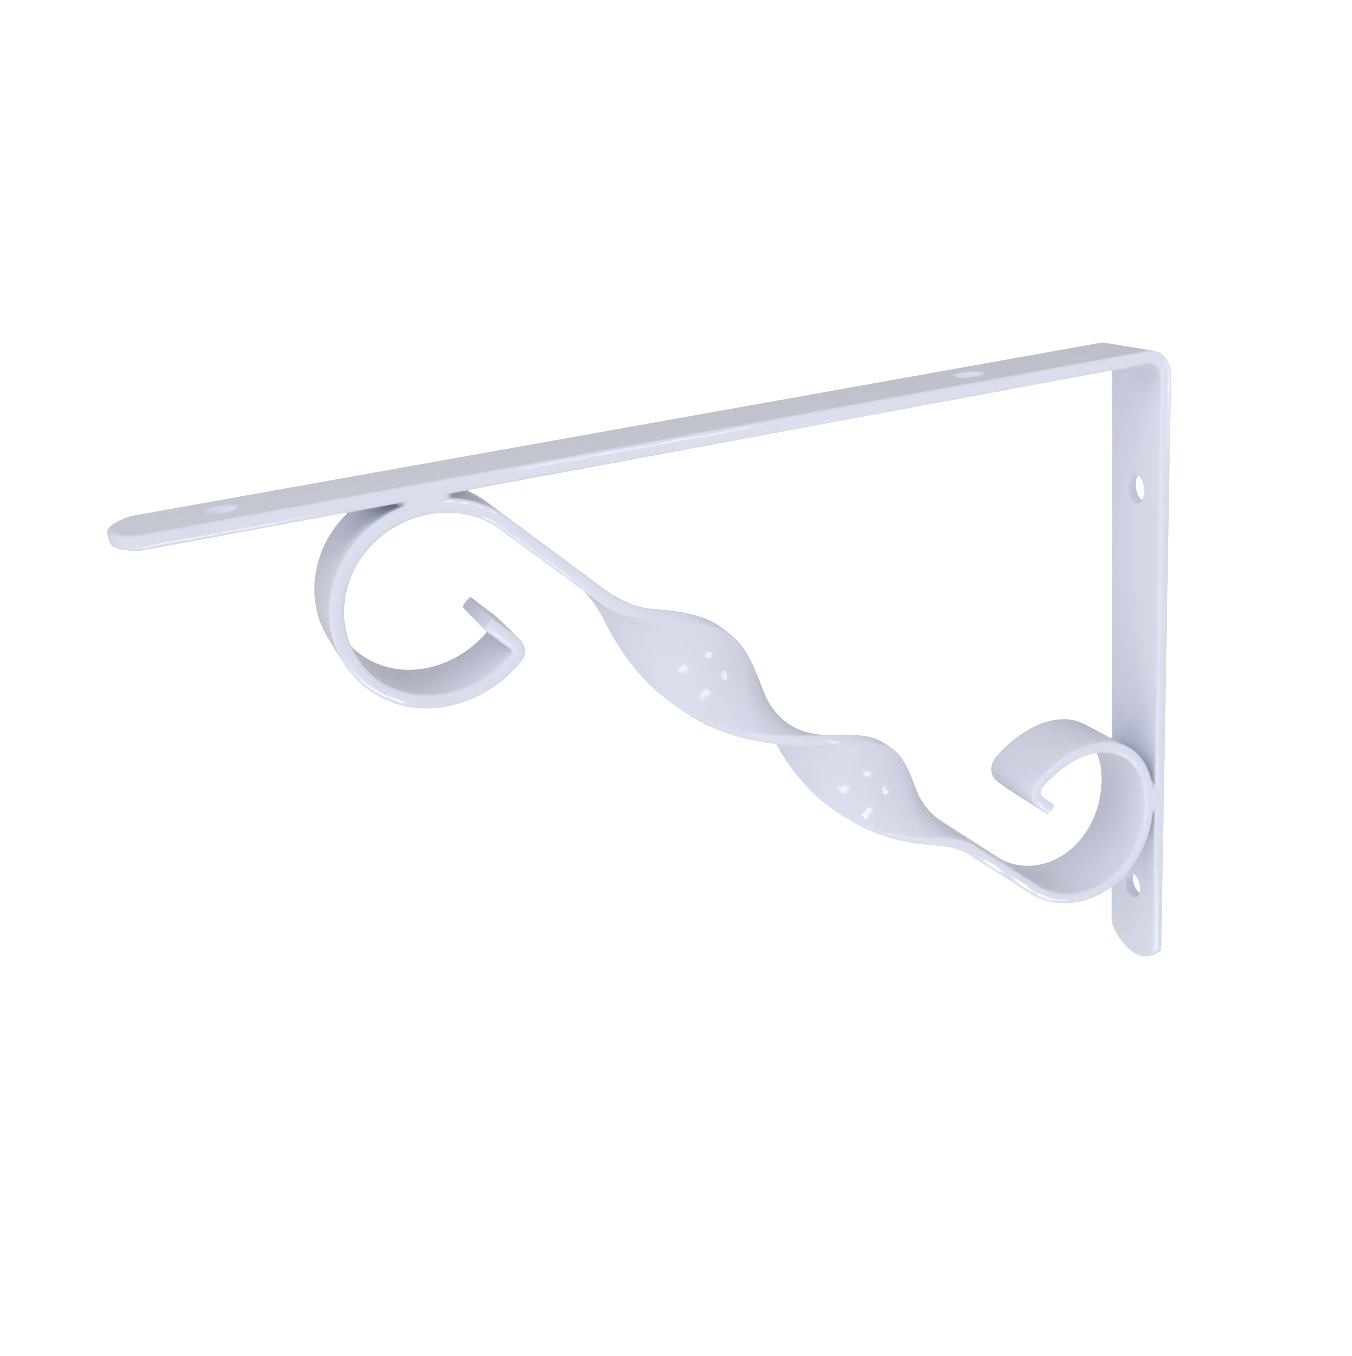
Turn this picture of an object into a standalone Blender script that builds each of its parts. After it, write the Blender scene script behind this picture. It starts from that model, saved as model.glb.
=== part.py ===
"""A white shelf bracket of flat steel bar: an L-shaped bar and a scrolled brace with one full twist.

Lengths are in metres. +X runs out from the wall along the arm, +Y across the bar's width, +Z up.
The profile of each piece is laid out in the XZ plane from the corner where the wall meets the arm's top face.
Each piece is then placed so that the origin is the middle of the leg's back face.
"""

import math

import bmesh
import bpy
import numpy as np

for leftover in list(bpy.data.objects):
    bpy.data.objects.remove(leftover)

# Flat bar that both pieces are made of, measured over its paint
BAR_WIDTH = 0.022
BAR_THICKNESS = 0.0032
BAR_EDGE_RADIUS = 0.0007
BAR_EDGE_STEPS = 2

# Angle bar
ARM_LENGTH = 0.250
LEG_HEIGHT = 0.176
BEND_OUTER_RADIUS = 0.0070
BEND_STEPS = 12
END_RADIUS = 0.0145
END_CORNER_RADIUS = 0.0025
END_STEPS = 10
END_CORNER_STEPS = 4
SCREW_HOLE_DIAMETER = 0.0072
SCREW_HOLE_SIDES = 32
ARM_HOLES_FROM_WALL = (0.0512, 0.2276)
LEG_HOLES_FROM_TOP = (0.0363, 0.1529)

# Clearance left where the brace is welded to the angle bar
WELD_GAP = 0.0003

# Upper scroll, under the arm: mean radius at mid-thickness and how far it is out of round
UPPER_FROM_WALL = 0.18857
UPPER_RADIUS = 0.02160
UPPER_OVAL = 0.00091
UPPER_OVAL_ANGLE = math.radians(-25.1)
UPPER_LOBES = 0.00011
UPPER_LOBES_ANGLE = math.radians(60.3)
UPPER_KINK_ANGLE = math.radians(220.2)
UPPER_KINK_SPREAD = 0.0024
UPPER_LEAVING_ANGLE = math.radians(499.4)
UPPER_TAIL_END = (0.1791, -0.0323)

# Lower scroll, against the leg
LOWER_BELOW_TOP = 0.12315
LOWER_RADIUS = 0.02201
LOWER_OVAL = 0.00048
LOWER_OVAL_ANGLE = math.radians(-40.9)
LOWER_LOBES = 0.00056
LOWER_LOBES_ANGLE = 0.0
LOWER_LEAVING_ANGLE = math.radians(-43.6)
LOWER_KINK_ANGLE = math.radians(-320.4)
LOWER_KINK_SPREAD = 0.0040
LOWER_TAIL_END = (0.0368, -0.1157)

# Kinks between scrolls and tails
KINK_ROUNDNESS = 0.42
KINK_STEPS = 8
SCROLL_STEPS = 44
TAIL_STEPS = 3
CUT_END_EDGE = 0.0005

# Diagonal and its twist
DIAGONAL_FULLNESS = 0.6
DIAGONAL_STEPS = 72
TWIST_TURN = -2 * math.pi
TWIST_START = 0.0285
TWIST_LENGTH = 0.1266
TWIST_EASING = 0.09
BRACE_FACE_STRIPS = 4

# Gloss white paint
PAINT_COLOUR = (0.80, 0.80, 0.86, 1.0)
PAINT_ROUGHNESS = 0.22


# Solid from rings of points, closed at both ends
def loft(bm, rings):
    rows = [[bm.verts.new(point) for point in ring] for ring in rings]
    count = len(rows[0])
    for lower, upper in zip(rows, rows[1:]):
        for i in range(count):
            j = (i + 1) % count
            bm.faces.new((lower[i], lower[j], upper[j], upper[i]))
    return rows


# One object from a finished mesh, with its faces turned outward and its paint
def finish_piece(name, bm):
    bmesh.ops.recalc_face_normals(bm, faces=bm.faces)
    mesh = bpy.data.meshes.new(name)
    bm.to_mesh(mesh)
    bm.free()
    piece = bpy.data.objects.new(name, mesh)
    bpy.context.scene.collection.objects.link(piece)
    paint = bpy.data.materials.new(name + "_paint")
    paint.use_nodes = True
    shader = paint.node_tree.nodes["Principled BSDF"]
    shader.inputs["Base Color"].default_value = PAINT_COLOUR
    shader.inputs["Roughness"].default_value = PAINT_ROUGHNESS
    shader.inputs["Metallic"].default_value = 0.0
    paint.diffuse_color = PAINT_COLOUR
    mesh.materials.append(paint)
    return piece


# Rounded edge of the bar, as (inset, height) pairs from one flat face to the other
def edge_levels(thickness, radius, steps):
    half = thickness / 2
    quarter = [math.pi / 2 * step / steps for step in range(steps + 1)]
    lower = [(radius * (1 - math.sin(a)), radius * (1 - math.cos(a)) - half) for a in quarter]
    return lower + [(inset, -height) for inset, height in reversed(lower)]


# Half of the angle bar's flat outline, one rounded end to the other, moved inwards by the inset
def half_outline(length, inset):
    half = BAR_WIDTH / 2
    rise = half - END_CORNER_RADIUS
    reach = END_RADIUS - END_CORNER_RADIUS
    corner_along = END_RADIUS - math.sqrt(reach**2 - rise**2)
    meeting = math.asin(rise / reach)
    end = []
    for step in range(END_STEPS + 1):
        angle = meeting * step / END_STEPS
        radius = END_RADIUS - inset
        end.append((END_RADIUS - radius * math.cos(angle), radius * math.sin(angle)))
    for step in range(1, END_CORNER_STEPS + 1):
        angle = meeting + (math.pi / 2 - meeting) * step / END_CORNER_STEPS
        radius = END_CORNER_RADIUS - inset
        end.append((corner_along - radius * math.cos(angle), rise + radius * math.sin(angle)))
    straight = [(along, half - inset) for along in bend_stations()]
    return end + straight + [(length - along, across) for along, across in reversed(end)]


# Distances along the flat bar at which the bend has its cross lines
def bend_stations():
    leg = LEG_HEIGHT - BEND_OUTER_RADIUS
    quarter = (BEND_OUTER_RADIUS - BAR_THICKNESS / 2) * math.pi / 2
    return [leg + quarter * step / BEND_STEPS for step in range(BEND_STEPS + 1)]


# Place on the bent bar of a point given by its distance along, its distance across and its height on the thickness
def on_angle_bar(along, across, height):
    leg = LEG_HEIGHT - BEND_OUTER_RADIUS
    middle_radius = BEND_OUTER_RADIUS - BAR_THICKNESS / 2
    quarter = middle_radius * math.pi / 2
    if along <= leg:
        return (BAR_THICKNESS / 2 - height, across, along - LEG_HEIGHT)
    if along >= leg + quarter:
        return (BEND_OUTER_RADIUS + along - leg - quarter, across, height - BAR_THICKNESS / 2)
    turn = (along - leg) / middle_radius
    radius = middle_radius + height
    return (
        BEND_OUTER_RADIUS - radius * math.cos(turn),
        across,
        radius * math.sin(turn) - BEND_OUTER_RADIUS,
    )


# Flat bar with rounded ends, bent once, solid for now
def bent_bar():
    leg = LEG_HEIGHT - BEND_OUTER_RADIUS
    quarter = (BEND_OUTER_RADIUS - BAR_THICKNESS / 2) * math.pi / 2
    length = leg + quarter + ARM_LENGTH - BEND_OUTER_RADIUS
    bm = bmesh.new()
    rings = []
    for inset, height in edge_levels(BAR_THICKNESS, BAR_EDGE_RADIUS, BAR_EDGE_STEPS):
        right = half_outline(length, inset)
        left = [(along, -across) for along, across in reversed(right[1:-1])]
        rings.append([on_angle_bar(along, across, height) for along, across in right + left])
    rows = loft(bm, rings)
    last = len(right) - 1
    for row in (rows[0], rows[-1]):
        left_row = [row[0]] + row[last + 1:][::-1] + [row[last]]
        bm.faces.new((row[0], row[1], left_row[1]))
        for i in range(1, last - 1):
            bm.faces.new((row[i], row[i + 1], left_row[i + 1], left_row[i]))
        bm.faces.new((row[last - 1], row[last], left_row[last - 1]))
    return bm


# Cylinder that bores one screw hole through the piece
def screw_hole(name, centre, along_x):
    bm = bmesh.new()
    bmesh.ops.create_cone(
        bm,
        cap_ends=True,
        segments=SCREW_HOLE_SIDES,
        radius1=SCREW_HOLE_DIAMETER / 2,
        radius2=SCREW_HOLE_DIAMETER / 2,
        depth=BAR_THICKNESS * 3,
    )
    mesh = bpy.data.meshes.new(name)
    bm.to_mesh(mesh)
    bm.free()
    cutter = bpy.data.objects.new(name, mesh)
    cutter.location = centre
    cutter.rotation_euler = (0.0, math.pi / 2 if along_x else 0.0, 0.0)
    cutter.hide_render = True
    cutter.display_type = "WIRE"
    bpy.context.scene.collection.objects.link(cutter)
    return cutter


# Angle bar: bent, rounded at its ends and bored for four screws
angle_bar = finish_piece("angle_bar", bent_bar())
hole_centres = [((distance, 0.0, -BAR_THICKNESS / 2), False) for distance in ARM_HOLES_FROM_WALL]
hole_centres += [((BAR_THICKNESS / 2, 0.0, -distance), True) for distance in LEG_HOLES_FROM_TOP]
for number, (centre, along_x) in enumerate(hole_centres, start=1):
    cutter = screw_hole(f"screw_hole_{number}", centre, along_x)
    cutter.parent = angle_bar
    bore = angle_bar.modifiers.new(f"bore_{number}", "BOOLEAN")
    bore.operation = "DIFFERENCE"
    bore.solver = "EXACT"
    bore.object = cutter


# Points and directions along a slightly out-of-round scroll about its own centre
def scroll(radius, oval, oval_angle, lobes, lobes_angle, start, end):
    angles = np.linspace(start, end, SCROLL_STEPS + 1)
    reach = radius + oval * np.cos(2 * (angles - oval_angle)) + lobes * np.cos(3 * (angles - lobes_angle))
    change = -2 * oval * np.sin(2 * (angles - oval_angle)) - 3 * lobes * np.sin(3 * (angles - lobes_angle))
    outward = np.stack([np.cos(angles), np.sin(angles)], axis=1)
    onward = np.stack([-np.sin(angles), np.cos(angles)], axis=1)
    points = reach[:, None] * outward
    directions = np.sign(end - start) * (change[:, None] * outward + reach[:, None] * onward)
    return points, directions / np.linalg.norm(directions, axis=1)[:, None]


# Smooth curve that leaves one point in one direction and reaches another in a second
def smooth_curve(start, start_direction, end, end_direction, fullness, steps):
    handle = fullness * np.linalg.norm(end - start)
    corners = (start, start + handle * start_direction, end - handle * end_direction, end)
    t = np.linspace(0, 1, steps + 1)[:, None]
    points = (
        (1 - t) ** 3 * corners[0]
        + 3 * (1 - t) ** 2 * t * corners[1]
        + 3 * (1 - t) * t**2 * corners[2]
        + t**3 * corners[3]
    )
    directions = (
        (1 - t) ** 2 * (corners[1] - corners[0])
        + 2 * (1 - t) * t * (corners[2] - corners[1])
        + t**2 * (corners[3] - corners[2])
    )
    return points, directions / np.linalg.norm(directions, axis=1)[:, None]


# Straight tail from its cut end to where the kink starts
def tail(end, kink_corner, kink_spread):
    end = np.array(end)
    run = kink_corner - end
    direction = run / np.linalg.norm(run)
    length = np.linalg.norm(run) - kink_spread
    distances = [0.0, CUT_END_EDGE] + [length * step / TAIL_STEPS for step in range(1, TAIL_STEPS + 1)]
    points = end + np.array(distances)[:, None] * direction
    return points, np.repeat(direction[None], len(distances), axis=0)


# The same run walked from its other end
def turned_round(run):
    points, directions = run
    return points[::-1], -directions[::-1]


# Share of the twist reached at a share of its length, with both ends eased
def eased(share):
    share = min(max(share, 0.0), 1.0)
    speed = 1 / (1 - TWIST_EASING)
    if share < TWIST_EASING:
        return speed * share**2 / (2 * TWIST_EASING)
    if share > 1 - TWIST_EASING:
        return 1 - speed * (1 - share) ** 2 / (2 * TWIST_EASING)
    return speed * (share - TWIST_EASING / 2)


# Rounded section of the brace's bar as (across, through) pairs, drawn in a little at a cut end
def brace_section(inset):
    half_width = BAR_WIDTH / 2 - inset
    half_thickness = BAR_THICKNESS / 2 - inset
    radius = BAR_EDGE_RADIUS
    flat = half_width - radius
    quarter = [math.pi / 2 * step / BAR_EDGE_STEPS for step in range(BAR_EDGE_STEPS + 1)]
    corner = [(flat + radius * math.cos(a), half_thickness - radius + radius * math.sin(a)) for a in quarter]
    face = [
        (flat - 2 * flat * step / BRACE_FACE_STRIPS, half_thickness)
        for step in range(1, BRACE_FACE_STRIPS)
    ]
    half_turn = corner + face + [(-across, through) for across, through in reversed(corner)]
    return half_turn + [(-across, -through) for across, through in half_turn]


# The same run moved by an offset
def moved(run, offset):
    points, directions = run
    return points + offset, directions


# Centres of the scrolls: each bears on the angle bar but for the weld gap
upper_scroll = (UPPER_RADIUS, UPPER_OVAL, UPPER_OVAL_ANGLE, UPPER_LOBES, UPPER_LOBES_ANGLE)
lower_scroll = (LOWER_RADIUS, LOWER_OVAL, LOWER_OVAL_ANGLE, LOWER_LOBES, LOWER_LOBES_ANGLE)
upper_whole = scroll(*upper_scroll, UPPER_KINK_ANGLE, UPPER_LEAVING_ANGLE)[0]
lower_whole = scroll(*lower_scroll, LOWER_LEAVING_ANGLE, LOWER_KINK_ANGLE)[0]
clearance = BAR_THICKNESS + WELD_GAP + BAR_THICKNESS / 2
upper_centre = np.array([UPPER_FROM_WALL, -clearance - upper_whole[:, 1].max()])
lower_centre = np.array([clearance - lower_whole[:, 0].min(), -LOWER_BELOW_TOP])

# Whole centreline of the brace, from the upper tail to the lower tail
upper_tail = tail(UPPER_TAIL_END, upper_centre + upper_whole[0], UPPER_KINK_SPREAD)
lower_tail = turned_round(tail(LOWER_TAIL_END, lower_centre + lower_whole[-1], LOWER_KINK_SPREAD))
upper_start = UPPER_KINK_ANGLE + UPPER_KINK_SPREAD / UPPER_RADIUS
lower_finish = LOWER_KINK_ANGLE + LOWER_KINK_SPREAD / LOWER_RADIUS
upper_run = moved(scroll(*upper_scroll, upper_start, UPPER_LEAVING_ANGLE), upper_centre)
lower_run = moved(scroll(*lower_scroll, LOWER_LEAVING_ANGLE, lower_finish), lower_centre)


# Kink or diagonal that joins the end of one run to the start of the next
def joined(before, after, fullness, steps):
    return smooth_curve(before[0][-1], before[1][-1], after[0][0], after[1][0], fullness, steps)


diagonal = joined(upper_run, lower_run, DIAGONAL_FULLNESS, DIAGONAL_STEPS)
runs = [
    upper_tail,
    joined(upper_tail, upper_run, KINK_ROUNDNESS, KINK_STEPS),
    upper_run,
    diagonal,
    lower_run,
    joined(lower_run, lower_tail, KINK_ROUNDNESS, KINK_STEPS),
    lower_tail,
]

# Stations along the centreline: place, direction, twist and drawing-in
stations = []
for index, (points, directions) in enumerate(runs):
    first = 0 if index == 0 else 1
    travelled = 0.0
    for step, (point, direction) in enumerate(zip(points, directions)):
        travelled += np.linalg.norm(point - points[max(step - 1, 0)])
        if step < first:
            continue
        twist = 0.0
        if index == 3:
            twist = TWIST_TURN * eased((travelled - TWIST_START) / TWIST_LENGTH)
        stations.append((point, direction, twist))

# Brace: the section carried along the centreline, and capped at its two cut ends
brace = bmesh.new()
rings = []
for number, (point, direction, twist) in enumerate(stations):
    normal = np.array([-direction[1], direction[0]])
    at_cut_end = number in (0, len(stations) - 1)
    ring = []
    for across, through in brace_section(CUT_END_EDGE if at_cut_end else 0.0):
        sideways = across * math.cos(twist) - through * math.sin(twist)
        outwards = across * math.sin(twist) + through * math.cos(twist)
        x, z = point + outwards * normal
        ring.append((x, sideways, z))
    rings.append(ring)
rows = loft(brace, rings)
brace.faces.new(rows[0])
brace.faces.new(rows[-1])
scroll_brace = finish_piece("scroll_brace", brace)

# Places of both pieces, with the origin at the middle of the leg's back face
angle_bar.location = (0.0, 0.0, LEG_HEIGHT / 2)
scroll_brace.location = (0.0, 0.0, LEG_HEIGHT / 2)

# Soft shading over the rounded bends and edges
for piece in (angle_bar, scroll_brace):
    piece.data.shade_smooth()
    piece.data.set_sharp_from_angle(angle=math.radians(40))
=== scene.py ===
"""White shelf bracket: an angle bar of flat steel, a scrolled and once-twisted brace, and the two welds that join them.

Lengths are in metres. +X runs out from the wall along the arm, +Y across the bar's width, +Z up.
The origin is the middle of the leg's back face.
"""

import math

import bmesh
import bpy
import numpy as np
from mathutils import Matrix


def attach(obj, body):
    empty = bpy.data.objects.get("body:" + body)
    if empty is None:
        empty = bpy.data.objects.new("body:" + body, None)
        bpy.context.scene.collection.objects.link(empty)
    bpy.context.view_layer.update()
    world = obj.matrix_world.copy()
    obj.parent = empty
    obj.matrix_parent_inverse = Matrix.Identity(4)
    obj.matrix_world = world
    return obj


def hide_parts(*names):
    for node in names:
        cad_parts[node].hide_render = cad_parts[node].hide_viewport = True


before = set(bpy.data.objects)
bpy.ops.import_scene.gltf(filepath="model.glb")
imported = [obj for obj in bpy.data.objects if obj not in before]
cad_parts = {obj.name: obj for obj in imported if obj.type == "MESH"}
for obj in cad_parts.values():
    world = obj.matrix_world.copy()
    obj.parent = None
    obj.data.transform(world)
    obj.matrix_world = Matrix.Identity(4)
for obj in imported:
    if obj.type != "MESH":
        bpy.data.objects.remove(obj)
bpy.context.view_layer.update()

# Angle bar
# A length of flat steel bar with rounded ends, bent once to a right angle and drilled for four screws.
# The arm lies under the shelf and the leg stands against the wall. Coating leaves its long edges softly round.
BAR_WIDTH = 0.022
BAR_THICKNESS = 0.0032
BAR_EDGE_RADIUS = 0.00055
BAR_EDGE_STEPS = 6
BAR_EDGE_CROWN = 0.00022
BAR_EDGE_STRIPS = 6
FACE_BORDER = 0.0006
ARM_LENGTH = 0.250
LEG_HEIGHT = 0.176
BEND_OUTER_RADIUS = 0.0070
BEND_STEPS = 28
END_RADIUS = 0.0145
END_STEPS = 24
END_CORNER_RADIUS = 0.0025
END_CORNER_STEPS = 10
SCREW_HOLE_RADIUS = 0.0036
HOLE_RIM_RADIUS = 0.0005
HOLE_SIDES = 64
CUT_CORNER_ANGLE = math.radians(40)
ARM_HOLES_FROM_WALL = (0.0512, 0.2276)
LEG_HOLES_FROM_TOP = (0.0363, 0.1529)

STRAIGHT_LEG = LEG_HEIGHT - BEND_OUTER_RADIUS
BEND_MIDDLE_RADIUS = BEND_OUTER_RADIUS - BAR_THICKNESS / 2
BEND_RUN = BEND_MIDDLE_RADIUS * math.pi / 2
FLAT_LENGTH = STRAIGHT_LEG + BEND_RUN + ARM_LENGTH - BEND_OUTER_RADIUS


# Where a point of the flat bar lies once the bar is bent: along it from the leg's foot, across it, and above its middle
def on_bent_bar(along, across, height):
    top = LEG_HEIGHT / 2
    if along <= STRAIGHT_LEG:
        return (BAR_THICKNESS / 2 - height, across, along - top)
    if along >= STRAIGHT_LEG + BEND_RUN:
        return (along - STRAIGHT_LEG - BEND_RUN + BEND_OUTER_RADIUS, across, top + height - BAR_THICKNESS / 2)
    turn = (along - STRAIGHT_LEG) / BEND_MIDDLE_RADIUS
    radius = BEND_MIDDLE_RADIUS + height
    return (
        BEND_OUTER_RADIUS - radius * math.cos(turn),
        across,
        top + radius * math.sin(turn) - BEND_OUTER_RADIUS,
    )


# Wall of an edge, as (inset, height) pairs from the lower face to the upper one: round corners and a slight crown
def rounded_wall(radius, crown, border):
    half = BAR_THICKNESS / 2
    angles = [math.pi / 2 * step / BAR_EDGE_STEPS for step in range(BAR_EDGE_STEPS + 1)]
    lower = [(radius + border, -half)]
    lower += [(radius * (1 - math.sin(angle)), radius * (1 - math.cos(angle)) - half) for angle in angles]
    side = [(0.0, (radius - half) * (1 - 2 * step / BAR_EDGE_STRIPS)) for step in range(1, BAR_EDGE_STRIPS)]
    wall = lower + side + [(inset, -height) for inset, height in reversed(lower)]
    return [(inset + crown * (height / half) ** 2, height) for inset, height in wall]


# One long half of the flat outline: a rounded end, the cross lines of the bend, the other rounded end
def half_outline(inset):
    rise = BAR_WIDTH / 2 - END_CORNER_RADIUS
    reach = END_RADIUS - END_CORNER_RADIUS
    corner_along = END_RADIUS - math.sqrt(reach**2 - rise**2)
    meeting = math.asin(rise / reach)
    end = []
    for step in range(END_STEPS + 1):
        angle = meeting * step / END_STEPS
        radius = END_RADIUS - inset
        end.append((END_RADIUS - radius * math.cos(angle), radius * math.sin(angle)))
    for step in range(1, END_CORNER_STEPS + 1):
        angle = meeting + (math.pi / 2 - meeting) * step / END_CORNER_STEPS
        radius = END_CORNER_RADIUS - inset
        end.append((corner_along - radius * math.cos(angle), rise + radius * math.sin(angle)))
    bend = [(STRAIGHT_LEG + BEND_RUN * step / BEND_STEPS, BAR_WIDTH / 2 - inset) for step in range(BEND_STEPS + 1)]
    return end + bend + [(FLAT_LENGTH - along, across) for along, across in reversed(end)]


# Quads between neighbouring closed rows of points
def wall_between(bm, rows):
    for lower, upper in zip(rows, rows[1:]):
        for i in range(len(lower)):
            j = (i + 1) % len(lower)
            bm.faces.new((lower[i], lower[j], upper[j], upper[i]))


# Flat face inside closed loops of points, the holes left open
def fill_flat(bm, *loops):
    edges = []
    for loop in loops:
        for a, b in zip(loop, loop[1:] + loop[:1]):
            edges.append(bm.edges.get((a, b)) or bm.edges.new((a, b)))
    bmesh.ops.triangle_fill(bm, use_beauty=True, use_dissolve=False, edges=edges)


# A finished mesh as an object of the scene, smooth but for its cut corners
def add_piece(name, mesh, material):
    piece = bpy.data.objects.new(name, mesh)
    bpy.context.scene.collection.objects.link(piece)
    mesh.materials.clear()
    mesh.materials.append(material)
    mesh.shade_smooth()
    mesh.set_sharp_from_angle(angle=CUT_CORNER_ANGLE)
    return piece


# sRGB hex colour as the linear colour that a shader takes
def linear(colour):
    parts = [int(colour[i:i + 2], 16) / 255 for i in (1, 3, 5)]
    return tuple(c / 12.92 if c <= 0.04045 else ((c + 0.055) / 1.055) ** 2.4 for c in parts) + (1.0,)


# One node of a tree, with its settings and the links into it: a tuple is (node, output), other values are set
def add_node(tree, kind, settings=None, inputs=None):
    node = tree.nodes.new(kind)
    for name, value in (settings or {}).items():
        setattr(node, name, value)
    for name, value in (inputs or {}).items():
        if isinstance(value, tuple) and len(value) == 2 and isinstance(value[0], bpy.types.Node):
            tree.links.new(value[0].outputs[value[1]], node.inputs[name])
        else:
            node.inputs[name].default_value = value
    return node


# Gloss white powder coat, sprayed as dust on blasted steel and baked until it flows. It gives the eye a cool white
# whose tint and gloss drift a little, with clear reflections and a faint orange peel about 2.4 mm from crest to crest.
white_coat = bpy.data.materials.new("gloss_white_powder_coat")
white_coat.use_nodes = True
tree = white_coat.node_tree
tree.nodes.clear()
place = add_node(tree, "ShaderNodeTexCoord")
mottle = add_node(
    tree, "ShaderNodeTexNoise", {"noise_dimensions": "3D"},
    {"Vector": (place, "Object"), "Scale": 38.0, "Detail": 3.0, "Roughness": 0.55},
)
tint = add_node(
    tree, "ShaderNodeMix", {"data_type": "RGBA"},
    {"Factor": (mottle, "Fac"), "A": linear("#D9DDEC"), "B": linear("#DEE1F0")},
)
flow = add_node(
    tree, "ShaderNodeMapRange", {},
    {"Value": (mottle, "Fac"), "From Min": 0.3, "From Max": 0.7, "To Min": 0.03, "To Max": 0.05},
)
peel = add_node(
    tree, "ShaderNodeTexNoise", {"noise_dimensions": "3D"},
    {"Vector": (place, "Object"), "Scale": 420.0, "Detail": 2.0, "Roughness": 0.45},
)
peel_bump = add_node(
    tree, "ShaderNodeBump", {}, {"Strength": 0.6, "Distance": 0.000006, "Height": (peel, "Fac")},
)
coat = add_node(
    tree, "ShaderNodeBsdfPrincipled", {},
    {
        "Base Color": (tint, "Result"),
        "Roughness": (flow, "Result"),
        "Metallic": 0.0,
        "IOR": 1.5,
        "Normal": (peel_bump, "Normal"),
    },
)
add_node(tree, "ShaderNodeOutputMaterial", {}, {"Surface": (coat, "BSDF")})

bar_mesh = bmesh.new()
outline_rows = []
for inset, height in rounded_wall(BAR_EDGE_RADIUS, BAR_EDGE_CROWN, FACE_BORDER):
    front = half_outline(inset)
    back = [(along, -across) for along, across in reversed(front[1:-1])]
    outline_rows.append([bar_mesh.verts.new(on_bent_bar(*point, height)) for point in front + back])
wall_between(bar_mesh, outline_rows)

hole_rows = {"leg": [], "arm": []}
hole_places = [("leg", LEG_HEIGHT - distance) for distance in LEG_HOLES_FROM_TOP]
hole_places += [("arm", distance - BEND_OUTER_RADIUS + STRAIGHT_LEG + BEND_RUN) for distance in ARM_HOLES_FROM_WALL]
for limb, along in hole_places:
    rows = []
    for outset, height in rounded_wall(HOLE_RIM_RADIUS, 0.0, FACE_BORDER):
        radius = SCREW_HOLE_RADIUS + outset
        turns = [2 * math.pi * step / HOLE_SIDES for step in range(HOLE_SIDES)]
        ring = [(along + radius * math.cos(turn), radius * math.sin(turn)) for turn in turns]
        rows.append([bar_mesh.verts.new(on_bent_bar(*point, height)) for point in ring])
    wall_between(bar_mesh, [row[::-1] for row in rows])
    hole_rows[limb].append(rows)

# Both flat faces: strips across the bend, and one sheet with its two holes for the leg and one for the arm
before_bend = END_STEPS + END_CORNER_STEPS + 1
after_bend = before_bend + BEND_STEPS
for face in (0, -1):
    row = outline_rows[face]
    facing = [row[0]] + row[:0:-1]
    for step in range(before_bend, after_bend):
        bar_mesh.faces.new((row[step], row[step + 1], facing[step + 1], facing[step]))
    half_count = (len(row) + 2) // 2
    leg_loop = row[:before_bend + 1] + facing[1:before_bend + 1][::-1]
    arm_loop = row[after_bend:half_count] + facing[after_bend:half_count - 1][::-1]
    fill_flat(bar_mesh, leg_loop, *[rows[face] for rows in hole_rows["leg"]])
    fill_flat(bar_mesh, arm_loop, *[rows[face] for rows in hole_rows["arm"]])
bmesh.ops.recalc_face_normals(bar_mesh, faces=bar_mesh.faces)
mesh = bpy.data.meshes.new("angle_bar_coated")
bar_mesh.to_mesh(mesh)
bar_mesh.free()
angle_bar = add_piece("angle_bar_coated", mesh, white_coat)
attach(angle_bar, "root")
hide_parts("angle_bar")

# Scrolled brace
# A second length of the same bar, rolled to a scroll at each end with its tail kinked back into the circle.
# Between the scrolls it runs on a diagonal and is twisted once round, hot, with the kinks left slightly soft.
WELD_GAP = 0.0003
UPPER_FROM_WALL = 0.18857
UPPER_SHAPE = (0.02160, 0.00091, math.radians(-25.1), 0.00011, math.radians(60.3))
UPPER_KINK_ANGLE = math.radians(220.2)
UPPER_KINK_SPREAD = 0.0024
UPPER_LEAVING_ANGLE = math.radians(499.4)
UPPER_TAIL_END = (0.1791, -0.0323)
LOWER_BELOW_TOP = 0.12315
LOWER_SHAPE = (0.02201, 0.00048, math.radians(-40.9), 0.00056, 0.0)
LOWER_LEAVING_ANGLE = math.radians(-43.6)
LOWER_KINK_ANGLE = math.radians(-320.4)
LOWER_KINK_SPREAD = 0.0040
LOWER_TAIL_END = (0.0368, -0.1157)
KINK_ROUNDNESS = 0.42
DIAGONAL_FULLNESS = 0.6
TWIST_TURN = -2 * math.pi
TWIST_START = 0.0285
TWIST_LENGTH = 0.1266
TWIST_EASING = 0.09
SCROLL_STEPS = 150
KINK_STEPS = 16
DIAGONAL_STEPS = 260
TAIL_STEPS = 8
CUT_END_RADIUS = 0.00045
CUT_END_STEPS = 5
BRACE_FACE_STRIPS = 11


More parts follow.
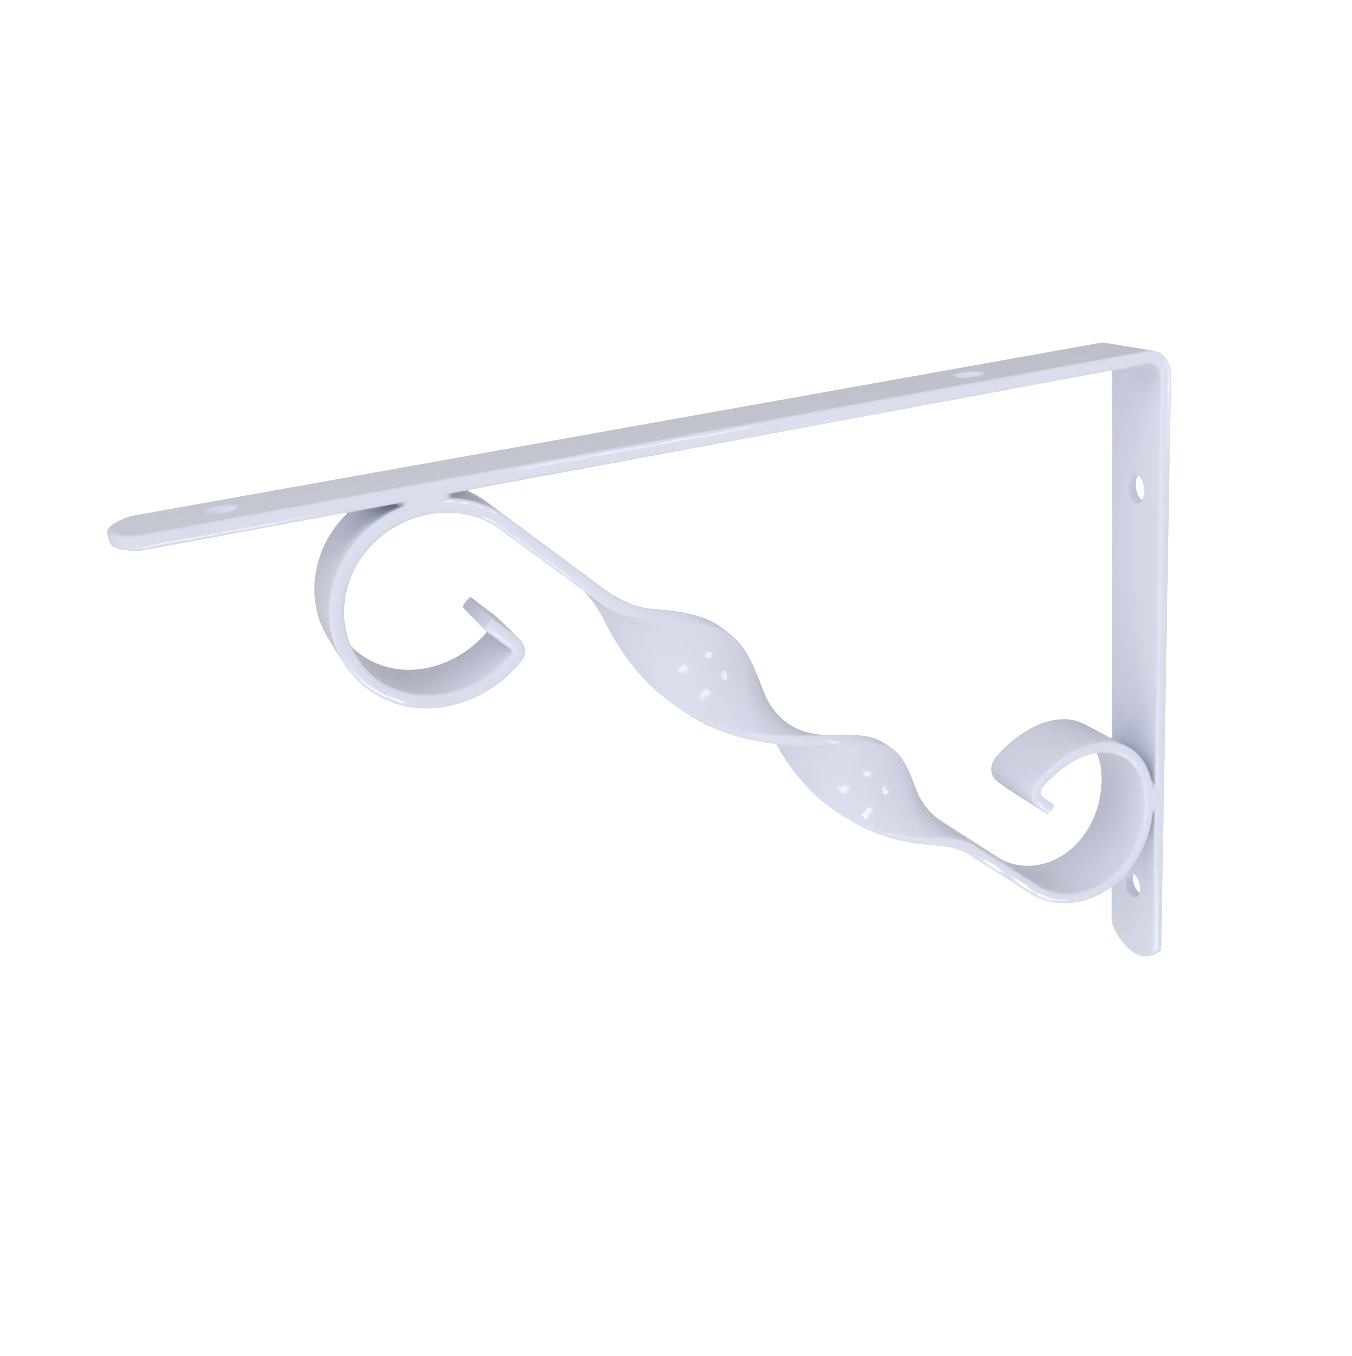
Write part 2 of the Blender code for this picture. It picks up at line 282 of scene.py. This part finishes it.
# Points and directions along a scroll about its own centre: mean radius, and how far it is oval and three-lobed
def scroll(shape, start, end):
    radius, oval, oval_angle, lobes, lobes_angle = shape
    angles = np.linspace(start, end, SCROLL_STEPS + 1)
    reach = radius + oval * np.cos(2 * (angles - oval_angle)) + lobes * np.cos(3 * (angles - lobes_angle))
    change = -2 * oval * np.sin(2 * (angles - oval_angle)) - 3 * lobes * np.sin(3 * (angles - lobes_angle))
    outward = np.stack([np.cos(angles), np.sin(angles)], axis=1)
    onward = np.stack([-np.sin(angles), np.cos(angles)], axis=1)
    directions = np.sign(end - start) * (change[:, None] * outward + reach[:, None] * onward)
    return reach[:, None] * outward, directions / np.linalg.norm(directions, axis=1)[:, None]


# Smooth curve from the end of one run to the start of the next
def joined(before, after, fullness, steps):
    start, start_direction = before[0][-1], before[1][-1]
    end, end_direction = after[0][0], after[1][0]
    handle = fullness * np.linalg.norm(end - start)
    near, far = start + handle * start_direction, end - handle * end_direction
    t = np.linspace(0, 1, steps + 1)[:, None]
    points = (1 - t) ** 3 * start + 3 * (1 - t) ** 2 * t * near + 3 * (1 - t) * t**2 * far + t**3 * end
    directions = (1 - t) ** 2 * (near - start) + 2 * (1 - t) * t * (far - near) + t**2 * (end - far)
    return points, directions / np.linalg.norm(directions, axis=1)[:, None]


# Straight tail from just inside its cut end to where the kink starts
def tail(end, kink_corner, kink_spread):
    run = kink_corner - np.array(end)
    direction = run / np.linalg.norm(run)
    distances = np.linspace(CUT_END_RADIUS, np.linalg.norm(run) - kink_spread, TAIL_STEPS + 1)
    return np.array(end) + distances[:, None] * direction, np.repeat(direction[None], TAIL_STEPS + 1, axis=0)


# Share of the twist reached at each share of its length, with both ends eased
def eased(share):
    share = np.clip(share, 0, 1)
    speed = 1 / (1 - TWIST_EASING)
    middle = speed * (share - TWIST_EASING / 2)
    first = speed * share**2 / (2 * TWIST_EASING)
    final = 1 - speed * (1 - share) ** 2 / (2 * TWIST_EASING)
    return np.where(share < TWIST_EASING, first, np.where(share > 1 - TWIST_EASING, final, middle))


clearance = BAR_THICKNESS * 1.5 + WELD_GAP
upper_whole = scroll(UPPER_SHAPE, UPPER_KINK_ANGLE, UPPER_LEAVING_ANGLE)[0]
lower_whole = scroll(LOWER_SHAPE, LOWER_LEAVING_ANGLE, LOWER_KINK_ANGLE)[0]
upper_centre = np.array([UPPER_FROM_WALL, -clearance - upper_whole[:, 1].max()])
lower_centre = np.array([clearance - lower_whole[:, 0].min(), -LOWER_BELOW_TOP])
upper_points, upper_directions = scroll(
    UPPER_SHAPE, UPPER_KINK_ANGLE + UPPER_KINK_SPREAD / UPPER_SHAPE[0], UPPER_LEAVING_ANGLE
)
lower_points, lower_directions = scroll(
    LOWER_SHAPE, LOWER_LEAVING_ANGLE, LOWER_KINK_ANGLE + LOWER_KINK_SPREAD / LOWER_SHAPE[0]
)
upper_run = (upper_points + upper_centre, upper_directions)
lower_run = (lower_points + lower_centre, lower_directions)
upper_tail = tail(UPPER_TAIL_END, upper_centre + upper_whole[0], UPPER_KINK_SPREAD)
lower_tail = tail(LOWER_TAIL_END, lower_centre + lower_whole[-1], LOWER_KINK_SPREAD)
lower_tail = (lower_tail[0][::-1], -lower_tail[1][::-1])
diagonal = joined(upper_run, lower_run, DIAGONAL_FULLNESS, DIAGONAL_STEPS)
travelled = np.concatenate([[0], np.cumsum(np.linalg.norm(np.diff(diagonal[0], axis=0), axis=1))])
diagonal_turn = TWIST_TURN * eased((travelled - TWIST_START) / TWIST_LENGTH)
runs = [
    (upper_tail, 0.0),
    (joined(upper_tail, upper_run, KINK_ROUNDNESS, KINK_STEPS), 0.0),
    (upper_run, 0.0),
    (diagonal, diagonal_turn),
    (lower_run, TWIST_TURN),
    (joined(lower_run, lower_tail, KINK_ROUNDNESS, KINK_STEPS), TWIST_TURN),
    (lower_tail, TWIST_TURN),
]
path_places = [upper_tail[0][:1]] + [run[0][1:] for run, turn in runs]
path_turns = [[0.0]] + [np.broadcast_to(turn, len(run[0]))[1:] for run, turn in runs]
path_places = np.concatenate(path_places) + (0.0, LEG_HEIGHT / 2)
path_turns = np.concatenate(path_turns)

# Centreline of the brace, laid flat in XY here and stood up in the tree, with the twist at each of its points
centreline = bpy.data.meshes.new("brace_centreline")
centreline.from_pydata(
    [(x, z, 0.0) for x, z in path_places], [(i, i + 1) for i in range(len(path_places) - 1)], []
)
centreline.attributes.new("turn", "FLOAT", "POINT").data.foreach_set("value", path_turns.astype(np.float32))
sweep = bpy.data.objects.new("brace_sweep", centreline)
bpy.context.scene.collection.objects.link(sweep)

# The bar's rounded section carried along the centreline
tree = bpy.data.node_groups.new("bar_along_centreline", "GeometryNodeTree")
sockets = {}
for name, kind in (
    ("Centreline", "Geometry"),
    ("Bar width", "Float"),
    ("Bar thickness", "Float"),
    ("Edge radius", "Float"),
    ("Edge crown", "Float"),
    ("Edge steps", "Int"),
    ("Edge strips", "Int"),
    ("Face strips", "Int"),
    ("Finish", "Material"),
):
    sockets[name] = tree.interface.new_socket(name, in_out="INPUT", socket_type="NodeSocket" + kind).identifier
tree.interface.new_socket("Brace", in_out="OUTPUT", socket_type="NodeSocketGeometry")
given = add_node(tree, "NodeGroupInput")
line = add_node(tree, "GeometryNodeMeshToCurve", {}, {"Mesh": (given, "Centreline")})
upright = add_node(tree, "GeometryNodeSetCurveNormal", {"mode": "Z_UP"}, {"Curve": (line, "Curve")})
turn = add_node(tree, "GeometryNodeInputNamedAttribute", {"data_type": "FLOAT"}, {"Name": "turn"})
tilted = add_node(
    tree, "GeometryNodeSetCurveTilt", {}, {"Curve": (upright, "Curve"), "Tilt": (turn, "Attribute")},
)
outline = add_node(
    tree, "GeometryNodeCurvePrimitiveQuadrilateral", {"mode": "RECTANGLE"},
    {"Width": (given, "Bar thickness"), "Height": (given, "Bar width")},
)
rounded = add_node(
    tree, "GeometryNodeFilletCurve", {"mode": "POLY"},
    {"Curve": (outline, "Curve"), "Radius": (given, "Edge radius"), "Count": (given, "Edge steps")},
)
# Each corner has one point more than its steps. The last point of every corner starts a side, and the sides are
# narrow and wide by turns, so counting the points tells which side is cut into how many strips.
number = add_node(tree, "GeometryNodeInputIndex")
number_on = add_node(tree, "FunctionNodeIntegerMath", {"operation": "ADD"}, {0: (number, "Index"), 1: 1})
corner_points = add_node(tree, "FunctionNodeIntegerMath", {"operation": "ADD"}, {0: (given, "Edge steps"), 1: 1})
past_corner = add_node(
    tree, "FunctionNodeIntegerMath", {"operation": "MODULO"}, {0: (number_on, "Value"), 1: (corner_points, "Value")},
)
starts_side = add_node(
    tree, "FunctionNodeCompare", {"data_type": "INT", "operation": "EQUAL"}, {2: (past_corner, "Value"), 3: 0},
)
corners_passed = add_node(
    tree, "FunctionNodeIntegerMath", {"operation": "DIVIDE"}, {0: (number_on, "Value"), 1: (corner_points, "Value")},
)
odd_corner = add_node(
    tree, "FunctionNodeIntegerMath", {"operation": "MODULO"}, {0: (corners_passed, "Value"), 1: 2},
)
strips = add_node(
    tree, "GeometryNodeSwitch", {"input_type": "INT"},
    {"Switch": (odd_corner, "Value"), "False": (given, "Face strips"), "True": (given, "Edge strips")},
)
cuts_here = add_node(
    tree, "FunctionNodeIntegerMath", {"operation": "MULTIPLY"}, {0: (starts_side, "Result"), 1: (strips, "Output")},
)
section = add_node(
    tree, "GeometryNodeSubdivideCurve", {}, {"Curve": (rounded, "Curve"), "Cuts": (cuts_here, "Value")},
)
# The crown: a point of the section sinks by the square of its share of the half thickness
place = add_node(tree, "GeometryNodeInputPosition")
parts = add_node(tree, "ShaderNodeSeparateXYZ", {}, {"Vector": (place, "Position")})
half = add_node(tree, "ShaderNodeMath", {"operation": "MULTIPLY"}, {0: (given, "Bar thickness"), 1: 0.5})
share = add_node(tree, "ShaderNodeMath", {"operation": "DIVIDE"}, {0: (parts, "X"), 1: (half, "Value")})
square = add_node(tree, "ShaderNodeMath", {"operation": "MULTIPLY"}, {0: (share, "Value"), 1: (share, "Value")})
sink = add_node(tree, "ShaderNodeMath", {"operation": "MULTIPLY"}, {0: (square, "Value"), 1: (given, "Edge crown")})
half_width = add_node(tree, "ShaderNodeMath", {"operation": "MULTIPLY"}, {0: (given, "Bar width"), 1: 0.5})
outwards = add_node(tree, "ShaderNodeMath", {"operation": "DIVIDE"}, {0: (parts, "Y"), 1: (half_width, "Value")})
inwards = add_node(tree, "ShaderNodeMath", {"operation": "MULTIPLY"}, {0: (outwards, "Value"), 1: -1.0})
shift = add_node(tree, "ShaderNodeMath", {"operation": "MULTIPLY"}, {0: (inwards, "Value"), 1: (sink, "Value")})
offset = add_node(tree, "ShaderNodeCombineXYZ", {}, {"Y": (shift, "Value")})
crowned = add_node(
    tree, "GeometryNodeSetPosition", {}, {"Geometry": (section, "Curve"), "Offset": (offset, "Vector")},
)
swept = add_node(
    tree, "GeometryNodeCurveToMesh", {},
    {"Curve": (tilted, "Curve"), "Profile Curve": (crowned, "Geometry"), "Fill Caps": True},
)
stood = add_node(
    tree, "GeometryNodeTransform", {}, {"Geometry": (swept, "Mesh"), "Rotation": (math.pi / 2, 0.0, 0.0)},
)
coated = add_node(
    tree, "GeometryNodeSetMaterial", {}, {"Geometry": (stood, "Geometry"), "Material": (given, "Finish")},
)
real = add_node(tree, "GeometryNodeRealizeInstances", {}, {"Geometry": (coated, "Geometry")})
add_node(tree, "NodeGroupOutput", {}, {"Brace": (real, "Geometry")})

bending = sweep.modifiers.new("bar_along_centreline", "NODES")
bending.node_group = tree
for name, value in (
    ("Bar width", BAR_WIDTH),
    ("Bar thickness", BAR_THICKNESS),
    ("Edge radius", BAR_EDGE_RADIUS),
    ("Edge crown", BAR_EDGE_CROWN),
    ("Edge steps", BAR_EDGE_STEPS),
    ("Edge strips", BAR_EDGE_STRIPS),
    ("Face strips", BRACE_FACE_STRIPS),
    ("Finish", white_coat),
):
    bending[sockets[name]] = value
bpy.context.view_layer.update()
mesh = bpy.data.meshes.new_from_object(sweep.evaluated_get(bpy.context.evaluated_depsgraph_get()))
mesh.name = "scroll_brace_coated"
bpy.data.objects.remove(sweep)

# Both cut ends rounded over by the file: each step draws the end face in and pushes it on by a quarter circle's share
brace_mesh = bmesh.new()
brace_mesh.from_mesh(mesh)
for cut_end in sorted(brace_mesh.faces, key=lambda face: len(face.verts))[-2:]:
    for step in range(CUT_END_STEPS):
        angles = [math.pi / 2 * (step + more) / CUT_END_STEPS for more in (0, 1)]
        drawn_in = CUT_END_RADIUS * (math.cos(angles[0]) - math.cos(angles[1]))
        pushed_on = CUT_END_RADIUS * (math.sin(angles[1]) - math.sin(angles[0]))
        bmesh.ops.inset_region(brace_mesh, faces=[cut_end], thickness=drawn_in, depth=pushed_on, use_even_offset=True)
bmesh.ops.recalc_face_normals(brace_mesh, faces=brace_mesh.faces)
brace_mesh.to_mesh(mesh)
brace_mesh.free()
scroll_brace = add_piece("scroll_brace_coated", mesh, white_coat)
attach(scroll_brace, "root")
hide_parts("scroll_brace")

# Welds
# The brace is fused to the arm and to the leg where each scroll bears on them. Both beads are dressed flush before
# the coat goes on, so the front edges run into each other there and the gaps end in narrow seams.
ARM_WELD_FROM_WALL = (0.1814, 0.1930)
LEG_WELD_BELOW_TOP = (0.1160, 0.1262)
ARM_WELD_DEPTH = 0.01096
LEG_WELD_DEPTH = 0.01102
WELD_CROWN = 0.00016
WELD_END_DROP = 0.0022
WELD_END_STEEPNESS = 6
WELD_STEPS = 24
WELD_ACROSS = 12
WELDED_ARC_REACH = 0.01


# Closed bead between two edges that run side by side: each station gives both edges and the half depth there
def weld_bead(name, stations, placed):
    bm = bmesh.new()
    rows = []
    for along, near, far, depth in stations:
        shares = np.linspace(-1, 1, WELD_ACROSS + 1)
        front = [(near + (far - near) * (u + 1) / 2, depth - WELD_CROWN * u**2) for u in shares]
        ring = front + [(side, -across) for side, across in reversed(front)]
        rows.append([bm.verts.new(placed(along, side, across)) for side, across in ring])
    wall_between(bm, rows)
    bm.faces.new(rows[0])
    bm.faces.new(rows[-1])
    bmesh.ops.recalc_face_normals(bm, faces=bm.faces)
    mesh = bpy.data.meshes.new(name)
    bm.to_mesh(mesh)
    bm.free()
    bead = add_piece(name, mesh, white_coat)
    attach(bead, "root")


# A bead along its length: full in the middle and dropping into the gap at both ends
def bead_stations(start, end, near, far_at, depth):
    shares = np.sin(np.linspace(-math.pi / 2, math.pi / 2, WELD_STEPS + 1))
    places = (start + end) / 2 + (end - start) / 2 * shares
    drops = WELD_END_DROP * shares**WELD_END_STEEPNESS
    return [(at, near, far_at(at), depth - drop) for at, drop in zip(places, drops)]


top_of_bar = LEG_HEIGHT / 2
upper_arc = upper_run[0][upper_run[0][:, 1] > upper_centre[1] + WELDED_ARC_REACH]
lower_arc = lower_run[0][lower_run[0][:, 0] < lower_centre[0] - WELDED_ARC_REACH]
upper_arc = upper_arc[np.argsort(upper_arc[:, 0])]
lower_arc = lower_arc[np.argsort(lower_arc[:, 1])]
weld_bead(
    "arm_weld",
    bead_stations(
        *ARM_WELD_FROM_WALL, top_of_bar - BAR_THICKNESS / 2,
        lambda x: top_of_bar + np.interp(x, upper_arc[:, 0], upper_arc[:, 1]), ARM_WELD_DEPTH,
    ),
    lambda x, z, y: (x, y, z),
)
weld_bead(
    "leg_weld",
    bead_stations(
        top_of_bar - LEG_WELD_BELOW_TOP[1], top_of_bar - LEG_WELD_BELOW_TOP[0], BAR_THICKNESS / 2,
        lambda z: np.interp(z - top_of_bar, lower_arc[:, 1], lower_arc[:, 0]), LEG_WELD_DEPTH,
    ),
    lambda z, x, y: (x, y, z),
)

# Floor, light and camera
# A round pale floor under the foot that sweeps up into a backdrop of the same tone all round, large soft lamps, small
# tube fittings for the reflections, and a camera where the photograph was taken from.
FLOOR_HEIGHT = -0.0885
FLOOR_RADIUS = 4.0
FLOOR_SWEEP_RADIUS = 1.0
FLOOR_SWEEP_STEPS = 24
BACKDROP_HEIGHT = 4.0
FLOOR_SIDES = 96

# Matt white paint: an even pale tone without reflections. It glows by itself, so no lamp leaves a patch on it.
floor_paint = bpy.data.materials.new("matt_white_floor")
floor_paint.use_nodes = True
floor_shader = floor_paint.node_tree.nodes["Principled BSDF"]
floor_shader.inputs["Base Color"].default_value = linear("#C8C8C8")
floor_shader.inputs["Roughness"].default_value = 0.9
floor_shader.inputs["Emission Color"].default_value = linear("#FFFFFF")
floor_shader.inputs["Emission Strength"].default_value = 1.0

floor_mesh = bmesh.new()
profile = [
    (FLOOR_RADIUS + FLOOR_SWEEP_RADIUS * math.sin(a), FLOOR_SWEEP_RADIUS * (1 - math.cos(a)))
    for a in np.linspace(0, math.pi / 2, FLOOR_SWEEP_STEPS + 1)
]
profile.append((FLOOR_RADIUS + FLOOR_SWEEP_RADIUS, BACKDROP_HEIGHT))
turns = [2 * math.pi * step / FLOOR_SIDES for step in range(FLOOR_SIDES)]
rings = []
for reach, rise in profile:
    rings.append(
        [floor_mesh.verts.new((reach * math.cos(a), reach * math.sin(a), FLOOR_HEIGHT + rise)) for a in turns]
    )
floor_mesh.faces.new(rings[0])
wall_between(floor_mesh, [ring[::-1] for ring in rings])
mesh = bpy.data.meshes.new("floor")
floor_mesh.to_mesh(mesh)
floor_mesh.free()
floor = add_piece("floor", mesh, floor_paint)
# The floor stays out of the coat's reflections and throws neither light nor shade on the bracket
floor.visible_glossy = False
floor.visible_diffuse = False
floor.visible_shadow = False

# The room is brightest below, where the white table throws light back, and dimmest overhead. Its brightness is a level
# plus the slope times the direction looked in.
ROOM_LEVEL = 0.538
ROOM_SLOPE = (0.105, 0.075, -0.21)
world = bpy.data.worlds.new("soft_room")
world.use_nodes = True
tree = world.node_tree
tree.nodes.clear()
outlook = add_node(tree, "ShaderNodeTexCoord")
slope = add_node(
    tree, "ShaderNodeVectorMath", {"operation": "DOT_PRODUCT"}, {0: (outlook, "Generated"), 1: ROOM_SLOPE},
)
brightness = add_node(tree, "ShaderNodeMath", {"operation": "ADD"}, {0: (slope, "Value"), 1: ROOM_LEVEL})
room = add_node(
    tree, "ShaderNodeBackground", {}, {"Color": linear("#FFFFFF"), "Strength": (brightness, "Value")},
)
add_node(tree, "ShaderNodeOutputWorld", {}, {"Surface": (room, "Background")})
bpy.context.scene.world = world


# Placing matrix from three unit axes and a place
def matrix_of(right, up, back, place):
    columns = [list(axis) + [0.0] for axis in (right, up, back)] + [list(place) + [1.0]]
    return Matrix(columns).transposed()


BRACKET_MIDDLE = np.array([0.12, 0.0, 0.0])


# A rectangular lamp that faces the bracket's middle, its long side leaning from the level by an angle, and moved aside
# across its length
def add_lamp(name, place, size, power, lean=0.0, aside=0.0):
    lamp = bpy.data.lights.new(name, "AREA")
    lamp.shape = "RECTANGLE"
    lamp.size, lamp.size_y = size
    lamp.energy = power
    back = np.array(place, float) - BRACKET_MIDDLE
    back /= np.linalg.norm(back)
    level = np.cross((0.0, 0.0, 1.0), back)
    level /= np.linalg.norm(level)
    length = math.cos(lean) * level + math.sin(lean) * np.cross(back, level)
    across = np.cross(back, length)
    holder = bpy.data.objects.new(name, lamp)
    holder.matrix_world = matrix_of(length, across, back, np.array(place) + aside * across)
    bpy.context.scene.collection.objects.link(holder)
    return holder


# Six large soft lamps light the coat evenly, and stay out of its reflections
SOFT_LAMP_DISTANCE = 1.6
SOFT_LAMP_SIZE = (0.9, 0.9)
for name, side, height, power in (
    ("upper_left_soft_lamp", 70, 45, 5.9),
    ("upper_front_soft_lamp", 20, 45, 3.4),
    ("upper_right_soft_lamp", -30, 60, 2.5),
    ("right_soft_lamp", -90, 30, 4.6),
    ("far_left_soft_lamp", 150, 20, 4.5),
    ("lowest_left_soft_lamp", 60, -50, 4.7),
):
    side, height = math.radians(side), math.radians(height)
    outward = (math.cos(height) * math.sin(side), math.cos(height) * math.cos(side), math.sin(height))
    soft_lamp = add_lamp(name, BRACKET_MIDDLE + SOFT_LAMP_DISTANCE * np.array(outward), SOFT_LAMP_SIZE, power)
    soft_lamp.visible_glossy = False

# Four fittings of four tubes each stand round the camera, and show in the coat as small striped windows
TUBES = 4
TUBE_RADIANCE = 9.0
for name, place, length, width, lean in (
    ("left_tubes", (0.245, 0.665, -0.300), 0.138, 0.153, 68),
    ("lower_tubes", (-0.130, 0.347, -0.310), 0.087, 0.071, 68),
    ("right_tubes", (-0.570, 0.550, -0.033), 0.159, 0.126, 75),
    ("upper_tubes", (0.018, 0.425, 0.155), 0.072, 0.117, 63),
):
    tube = width / (TUBES - 0.5) / 2
    for number in range(TUBES):
        aside = (number - (TUBES - 1) / 2) * 2 * tube
        power = TUBE_RADIANCE * math.pi * length * tube
        add_lamp(f"{name}_{number + 1}", place, (length, tube), power, math.radians(lean), aside)

# The camera, turned and tilted by angles in radians round the bracket's upright and level
CAMERA_PLACE = (0.245065, 0.342556, 0.154825)
TURN, TILT, ROLL = 0.3570, 0.4590, -0.1090
back = np.array([math.cos(TILT) * math.sin(TURN), math.cos(TILT) * math.cos(TURN), math.sin(TILT)])
level = np.array([-math.cos(TURN), math.sin(TURN), 0.0])
rise = np.cross(back, level)
right = math.cos(ROLL) * level + math.sin(ROLL) * rise
up = math.cos(ROLL) * rise - math.sin(ROLL) * level
camera_data = bpy.data.cameras.new("camera")
camera_data.sensor_width = 36.0
camera_data.lens = 41.651
camera_data.shift_x = -0.0647
camera_data.shift_y = 0.1384
camera_data.clip_start = 0.01
camera = bpy.data.objects.new("camera", camera_data)
camera.matrix_world = matrix_of(right, up, back, CAMERA_PLACE)
bpy.context.scene.collection.objects.link(camera)
bpy.context.scene.camera = camera
bpy.context.scene.view_settings.view_transform = "Standard"
